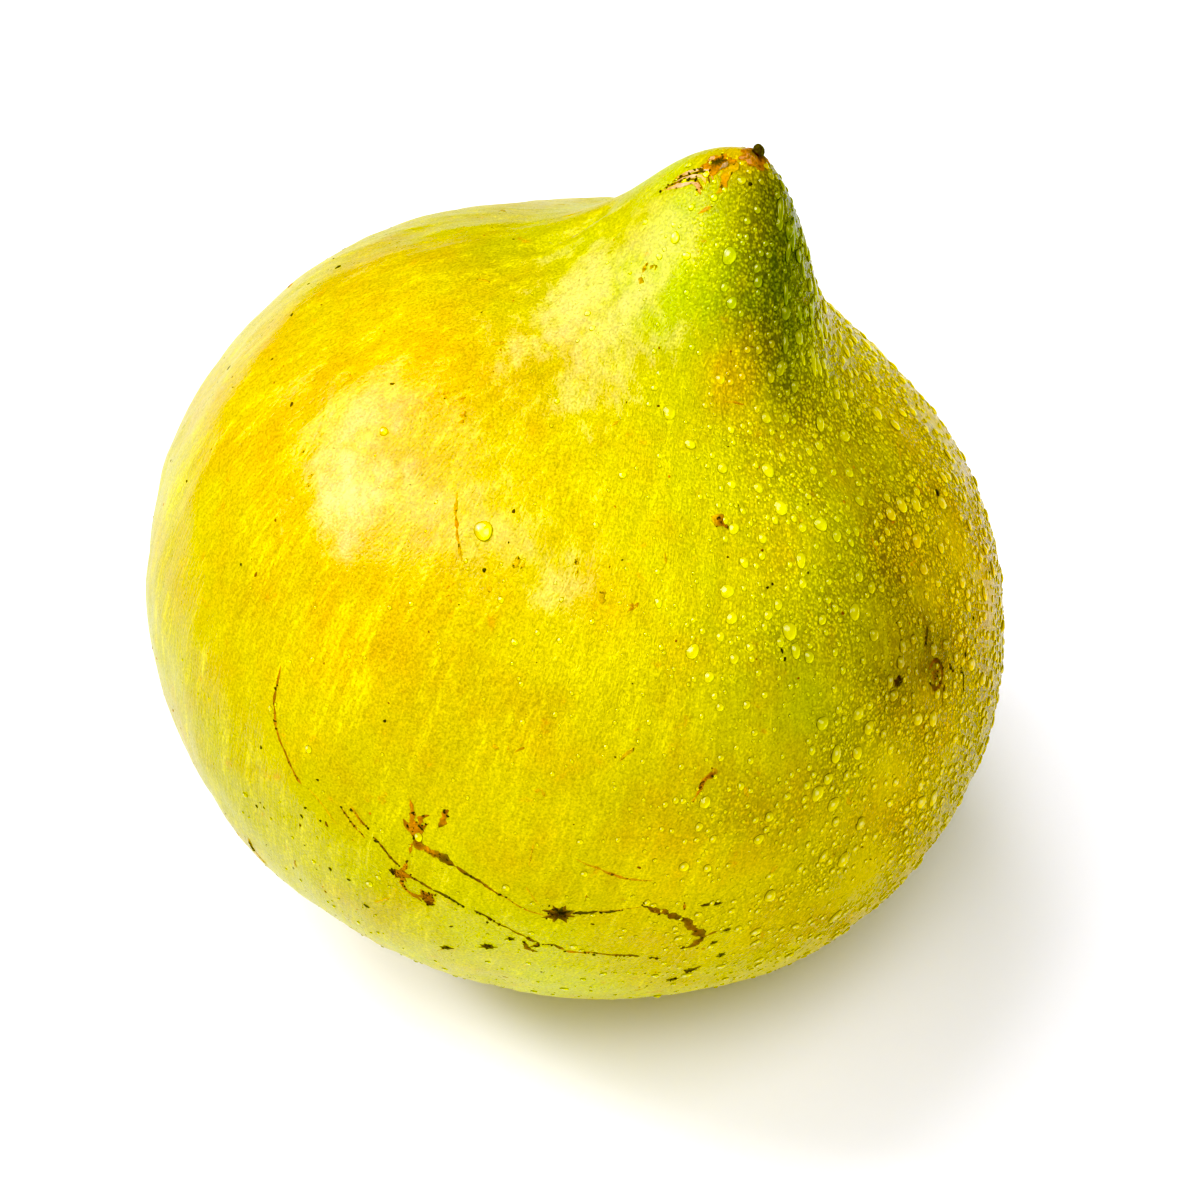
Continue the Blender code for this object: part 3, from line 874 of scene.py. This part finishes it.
# Corky dots and short scuffs scattered all over, with the darkest dots and the smudges at listed places.
def makeSpecks():
    s = specks
    rng = np.random.default_rng(s["seed"])
    heap = newHeap()
    placed = np.array(s["placed"])
    for places, radii, tones in (
        (unit(rng.normal(size=(s["dots"], 3))),
         np.clip(s["dotRadius"] * np.exp(0.4 * rng.normal(size=s["dots"])), *s["dotRadii"]),
         np.array([brown, bark, soot, rust])[rng.integers(0, 4, s["dots"])]),
        (directionOf(*placed[:, :2].T), placed[:, 2] * mm, np.array([soot] * len(placed))),
    ):
        count = len(places)
        addDomes(heap, places, radii, 0.35 * radii, tones, 1 + 0.6 * rng.uniform(size=count),
                 rng.uniform(0, 6.28, count), s["seed"] + count, 9, 2, 0.3, sink=0.5)
    starts = unit(rng.normal(size=(s["scuffs"], 3)))
    tones = np.array([tan, rust, tan, brown])[rng.integers(0, 4, s["scuffs"])]
    for start, tone in zip(starts, tones):
        longitude, latitude = placeOf(start)
        lean, length = rng.normal(0, 0.5), rng.uniform(1.0, 4.0)
        wide = max(math.cos(math.radians(latitude)), 0.2)
        end = (longitude + length * math.sin(lean) / wide, latitude - length * math.cos(lean))
        widths = np.array([1, 1.3, 0.6]) * rng.uniform(0.12, 0.3) * mm
        addStroke(heap, [(longitude, latitude), end], widths, s["scuffHeight"], [tone, tan], rng,
                  0.5, 0.4, 0.7, 8)
    for longitude, latitude, length, width, tone in s["smudges"]:
        widths = np.array([0.3, 0.5, 0.25]) * width * mm
        for _ in range(s["smudgeStrokes"]):
            east, north, lean = rng.normal(0, 0.5), rng.normal(0, 0.4), rng.normal(0, 0.7)
            x, y = longitude + east, latitude + north
            end = (x + 0.5 * length * math.sin(lean), y - 0.5 * length * math.cos(lean))
            addStroke(heap, [(x, y), end], widths, s["smudgeHeight"], [tone, tan], rng, 0.6, 0.4, 0.7, 8)
    makeHeap(heap, "skin_specks", cork)


stalkScar = {
    "place": (0, -90),
    "radius": 3.1 * mm,
    "height": 0.35 * mm,
    "sepals": 5,
    "sepalReach": (5.0, 10.5),  # degrees from the middle, where each shrivelled sepal starts and ends
    "seed": 23,
}


# The scar where the stalk broke off, in its dimple: a cork disc with a ragged ring and shrivelled sepals.
def makeStalkScar():
    s = stalkScar
    rng = np.random.default_rng(s["seed"])
    heap = newHeap()
    addCrust(heap, s["place"], s["radius"], s["height"], [tan, brown, tan, bark, brown], rng, 9, 0.12,
             around=72, levels=12)
    addCrust(heap, s["place"], 0.3 * s["radius"], 1.6 * s["height"], [bark, brown], rng, 6, 0.2, 0.5)
    ringTurn = np.linspace(0, 360, 13)
    ringTilt = 4.0 + 0.25 * rng.normal(size=13)
    ringTilt[-1] = ringTilt[0]
    addStroke(heap, list(zip(ringTurn, -90 + ringTilt)), np.array([0.8, 1.1, 0.7, 1.0, 0.8]) * mm, 0.4 * mm,
              [bark, brown, bark, tan, bark], rng)
    near, far = s["sepalReach"]
    for number in range(s["sepals"]):
        turn = 360 * (number + 0.3 * rng.uniform()) / s["sepals"]
        end = far * rng.uniform(0.8, 1.1)
        path = [(turn, -90 + near), (turn + 6, -90 + 0.5 * (near + far)), (turn + 3, -90 + end)]
        addStroke(heap, path, np.array([1.9, 1.6, 0.3]) * mm, 0.22 * mm, [bark, brown, soot], rng)
    makeHeap(heap, "stalk_scar", cork)


style = {
    "profile": [  # radius and height in mm, from the collar's foot up to the spike's end
        (1.25, -0.40), (1.30, 0.0), (1.1, 0.14), (0.75, 0.22), (0.48, 0.34), (0.45, 0.55), (0.42, 0.75),
        (0.34, 0.95), (0.2, 1.1), (0.0, 1.16)],
    "steps": 30,
    "around": 40,
    "bend": 0.15,  # mm that the spike's end leans over
    "droop": 3.2,  # mm, the radius of the beak's end that the collar lies on
    "collar": (0.42, 0.15, 0.05),
    "spike": (0.03, 0.013, 0.016),
    "seed": 9,
}


def styleMaterial():
    material, tree, shader = newMaterial("driedStyle")
    grain = noiseNode(tree, placeNode(tree), 3500.0, 3.0, 0.6)
    tint = attributeNode(tree, "tint", "Color")
    toned = blendNode(tree, 1.0, tint, rangeNode(tree, grain, 0.5, 1.35), "MULTIPLY")
    setShader(tree, shader, toned, rangeNode(tree, grain, 0.3, 0.7), bumpNode(tree, grain, 0.15 * mm, 0.8))
    return material


# The collar and spike: a profile turned round the beak's end. Noise breaks its radius, the collar droops as
# radius squared over twice the beak's own, and the spike leans over with its height squared.
def makeStyle():
    s = style
    rng = np.random.default_rng(s["seed"])
    profile = np.array(s["profile"])
    t, steps = np.linspace(0, 1, s["steps"]), np.linspace(0, 1, len(profile))
    r = np.interp(t, steps, profile[:, 0])[:-1]
    h = np.interp(t, steps, profile[:, 1])
    angle = np.linspace(0, 2 * math.pi, s["around"], endpoint=False)
    ring = np.stack([np.cos(angle), np.sin(angle)], -1)
    lumps = np.concatenate([ring[None] * r[:, None, None], (0 * angle + h[:-1, None])[..., None]], -1)
    broken = 1 + 0.18 * softNoise(lumps, 0.7, 51, 20) + 0.08 * softNoise(lumps, 0.25, 52, 20)
    middle, east, north, normal = skinFrame(directionOf(*fruitShape["beakTowards"])[None])
    wide = r[:, None] * broken
    x = wide * ring[None, :, 0] + s["bend"] * np.clip(h[:-1, None] / h[-1], 0, 1) ** 2
    y = wide * ring[None, :, 1]
    z = h[:-1, None] - wide**2 / (2 * s["droop"]) * (h[:-1, None] < 0.5)
    body = middle + mm * (x[..., None] * east + y[..., None] * north + z[..., None] * normal)
    end = middle + mm * (s["bend"] * east + h[-1] * normal)
    foot = middle - 0.9 * mm * normal
    corners, sizes = closedGridFaces(len(r), s["around"], turned=True)
    points = np.concatenate([foot, body.reshape(-1, 3), end])
    rise = np.concatenate([[0], np.repeat(h[:-1], s["around"]), [h[-1]]])
    tone = ease((rise - 0.1) / 0.3)[:, None]
    colour = np.array(s["collar"]) * (1 - tone) + np.array(s["spike"]) * tone
    colour = colour * np.clip(1 + 0.25 * rng.normal(size=(len(colour), 1)), 0.2, 1.8)
    piece = meshObject("style_tip_dry", points, corners, sizes, styleMaterial(), colour)
    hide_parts("style_tip")
    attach(piece, "root")
    print("style_tip_dry:", len(colour), "points")


water = {
    "tries": 60000,
    "count": 7200,
    "median": 0.17 * mm,
    "spread": 0.5,
    "smallest": 0.09 * mm,
    "largest": 0.62 * mm,
    "flatness": 0.42,  # height over radius
    "clearance": 1.12,  # distance of two drops over the sum of their radii, at the least
    "ior": 1.45,
    # painted light on the drops: a brighter far side and darker near side, a painted dark rim, a lighter and
    # paler tint, and a painted highlight spot
    "paintedCaustic": 0.85,
    "rimShade": 0.85,
    "paintedBrightening": 1.14,
    "paintedPaleLight": (0.025, 0.025, 0.005),  # added to the skin's tint
    "paintedGlint": 0.55,  # how far the side toward the main light goes to paintedGlintTint
    "paintedGlintTint": (0.98, 0.96, 0.50),
    "classes": [  # name, radii from and up to, points around, levels
        ("water_drops_large", 0.36 * mm, 1, 16, 4),
        ("water_drops_middle", 0.20 * mm, 0.36 * mm, 10, 3),
        ("water_drops_small", 0, 0.20 * mm, 7, 2),
    ],
    "placed": [  # longitude, latitude, radius in mm of the ones that stand out
        (20.5, 33.5, 0.7), (32.5, 30.5, 0.55), (12, 42, 0.46), (-7.5, 60, 0.58), (-1, 56.5, 0.46),
        (-13.5, 49.5, 0.34), (5.5, 66, 0.4), (23.5, 67, 0.42), (58.5, 40, 0.6), (-30.5, 35.5, 0.8),
        (21.5, 31, 0.5), (23.5, 17.5, 0.44), (9, 38, 0.6),
    ],
    "running": 26,  # long drops on the beak's wet flank, their longitudes, latitudes and radii
    "runningPlace": ((26, 62), (67, 81)),
    "runningRadius": (0.24 * mm, 0.42 * mm),
    "seed": 5,
}


# How thickly drops lie, from 0 to 1: dense on the right side and down the beak's right flank.
def wetness(directions):
    longitude, latitude = placeOf(directions)
    side = ease((longitude + 20) / 85) * ease((175 - longitude) / 60)
    lower = ease((latitude + 46) / 60)
    patchy = 0.82 + 0.24 * softNoise(noisePlace(directions), 9.0, 77)
    sparse = 0.07 * ease((longitude + 75) / 50) * ease((200 - longitude) / 40)
    beak = 0.7 * bell(angleFrom(directions, directionOf(30, 77)) / 11)
    return np.clip((side * lower + sparse) * patchy + beak, 0, 1)


# Random places, kept where the skin is wet and no bigger drop is close.
def scatterDrops():
    w = water
    rng = np.random.default_rng(w["seed"])
    directions = unit(rng.normal(size=(w["tries"], 3)))
    directions = directions[rng.uniform(size=len(directions)) < wetness(directions)]
    radius = w["median"] * np.exp(w["spread"] * rng.normal(size=len(directions)))
    radius = np.clip(radius, w["smallest"], w["largest"]) * (0.6 + 0.4 * ease(wetness(directions) / 0.4))
    placed = np.array(w["placed"])
    directions = np.concatenate([directionOf(placed[:, 0], placed[:, 1]), directions])
    radius = np.concatenate([placed[:, 2] * mm, radius])
    order = np.argsort(-radius)
    directions, radius = directions[order], radius[order]
    points = skinPoint(directions)
    cell = 2.4 * radius[0]
    keys = np.floor(points / cell).astype(int)
    cells, chosen = {}, []
    steps = [np.array(step) - 1 for step in np.ndindex(3, 3, 3)]
    for i, (point, key) in enumerate(zip(points, keys)):
        near = [j for step in steps for j in cells.get(tuple(key + step), ())]
        gaps = np.linalg.norm(points[near] - point, axis=1) - w["clearance"] * (radius[near] + radius[i])
        if (gaps < 0).any():
            continue
        cells.setdefault(tuple(key), []).append(i)
        chosen.append(i)
    big, rest = np.split(np.array(chosen), [2 * len(placed)])
    chosen = np.concatenate([big, rng.permutation(rest)[:w["count"] - len(big)]])
    return directions[chosen], radius[chosen]


# Water on the skin. Its tint holds painted light: the skin's own made brighter and paler, as light gathers
# in a drop, with painted shade at the rim and a painted highlight spot.
def waterMaterial():
    w = water
    material, tree, shader = newMaterial("waterOnSkin")
    film = noiseNode(tree, placeNode(tree), 900.0, 2.0)
    setShader(tree, shader, attributeNode(tree, "tint", "Color"), rangeNode(tree, film, 0.02, 0.09),
              bumpNode(tree, film, 0.03 * mm, 0.3))
    shader.inputs["IOR"].default_value = w["ior"]
    return material


def makeWater():
    w = water
    material = waterMaterial()
    directions, radius = scatterDrops()
    rng = np.random.default_rng(w["seed"] + 1)
    flank = directionOf(*(rng.uniform(*span, w["running"]) for span in w["runningPlace"]))
    directions = np.concatenate([directions, flank])
    radius = np.concatenate([radius, rng.uniform(*w["runningRadius"], w["running"])])
    stretch = 1 + 0.3 * rng.uniform(size=len(radius)) ** 2
    stretch[-w["running"]:] = rng.uniform(1.6, 4.0, w["running"])
    spin = math.pi / 2 + rng.normal(0, 0.25, len(radius))
    height = radius * w["flatness"] * rng.uniform(0.8, 1.15, len(radius))
    # painted light: the skin's tint made brighter and paler for the drops
    tints = skinColour(directions) * w["paintedBrightening"] + np.array(w["paintedPaleLight"])
    for name, low, high, around, levels in w["classes"]:
        pick = (radius >= low) & (radius < high)
        heap = newHeap()
        addDomes(heap, directions[pick], radius[pick], height[pick], tints[pick], stretch[pick], spin[pick],
                 w["seed"] + around, around, levels, 0.12, w["paintedCaustic"], w["rimShade"], paintedGlint=w["paintedGlint"])
        makeHeap(heap, name, material)
        print("   ", int(pick.sum()), "drops")


stage = {
    "floorSize": 4.0,
    "floorColour": (0.94, 0.94, 0.985),
    "cameraRise": 45.0,  # degrees above level, from the front
    "cameraDistance": 256.08 * mm,
    "cameraAside": 2.434 * mm,
    "cameraUp": -2.216 * mm,
    "lens": 85.0,
    "skyStrength": 0.0,
    "blackLevel": (0.03, 0.03, 0.12),
}

lights = {  # compass angle, height angle, width and height in metres, watts, all lightDistance away
    "window": (175, 43, 0.46, 0.46, 19.5),
    "windowLow": (156, 38, 0.44, 0.44, 4.6),
    "backTop": (142, 60, 1.60, 1.60, 29.6),
    "skylight": (122, 72, 0.56, 0.56, 3.6),
    "frontLeft": (230, 52, 2.40, 2.40, 32.8),
    "frontHigh": (256, 62, 0.60, 0.44, 4.4),
    "frontTop": (298, 67, 1.20, 1.20, 17.8),
    "frontRight": (300, 48, 1.20, 1.20, 8.0),
}
lightDistance = 2.2


def lightWay(name):  # the unit vector from the fruit to a light
    a, e = math.radians(lights[name][0]), math.radians(lights[name][1])
    return np.array([math.cos(e) * math.cos(a), math.cos(e) * math.sin(a), math.sin(e)])


# The floor: a flat grid, hardly darker in wide soft patches.
def makeFloor():
    half, cells = stage["floorSize"] / 2, 8
    ramp = np.linspace(-half, half, cells + 1)
    x, y = np.meshgrid(ramp, ramp, indexing="ij")
    points = np.stack([x, y, 0 * x - 0.02 * mm], -1).reshape(-1, 3)
    i, j = np.meshgrid(np.arange(cells), np.arange(cells), indexing="ij")
    corner = (i * (cells + 1) + j).reshape(-1)
    faces = np.stack([corner, corner + cells + 1, corner + cells + 2, corner + 1], 1)
    material, tree, shader = newMaterial("paleFloor")
    tone = rangeNode(tree, noiseNode(tree, placeNode(tree), 3.0, 2.0), 0.985, 1.0)
    colour = blendNode(tree, 1.0, stage["floorColour"], tone, "MULTIPLY")
    tree.links.new(colour, shader.inputs["Base Color"])
    shader.inputs["Roughness"].default_value = 0.9
    floor = meshObject("floor", points, faces.reshape(-1), np.full(len(faces), 4), material)
    print("floor")


def makeLights():
    scene = bpy.context.scene
    scene.world = bpy.data.worlds.new("softWhite")
    scene.world.use_nodes = True
    background = scene.world.node_tree.nodes["Background"]
    background.inputs["Color"].default_value = (1, 1, 1, 1)
    background.inputs["Strength"].default_value = stage["skyStrength"]
    for name, (_, _, width, height, power) in lights.items():
        data = bpy.data.lights.new(name, "AREA")
        data.shape = "RECTANGLE"
        data.size, data.size_y = width, height
        data.energy = power
        light = placeObject(name, data)
        light.location = np.array([0, 0, fruitShape["bodyRadius"]]) + lightWay(name) * lightDistance
        light.rotation_euler = Vector(-lightWay(name)).to_track_quat("-Z", "Y").to_euler()
        light.visible_camera = False
    scene.view_settings.view_transform = "Standard"
    scene.view_settings.look = "None"
    scene.view_settings.use_curve_mapping = True
    scene.view_settings.curve_mapping.black_level = stage["blackLevel"]
    print("lights:", len(lights))


def makeCamera():
    rise = math.radians(stage["cameraRise"])
    back = np.array([0, -math.cos(rise), math.sin(rise)])
    up = np.array([0, math.sin(rise), math.cos(rise)])
    target = np.array([*fruitCentre[:2], fruitShape["bodyRadius"]])
    place = target + back * stage["cameraDistance"] + up * stage["cameraUp"] + [stage["cameraAside"], 0, 0]
    data = bpy.data.cameras.new("camera")
    data.lens = stage["lens"]
    data.sensor_width = 36.0
    data.clip_start = 0.01
    camera = placeObject("camera", data)
    camera.location = place
    camera.rotation_euler = (math.pi / 2 - rise, 0, 0)
    bpy.context.scene.camera = camera
    print("camera")


makeCamera()
makeFloor()
makeLights()
cork = corkMaterial()
makeSkin()
makeScars()
makeSpecks()
makeStalkScar()
makeStyle()
makeWater()
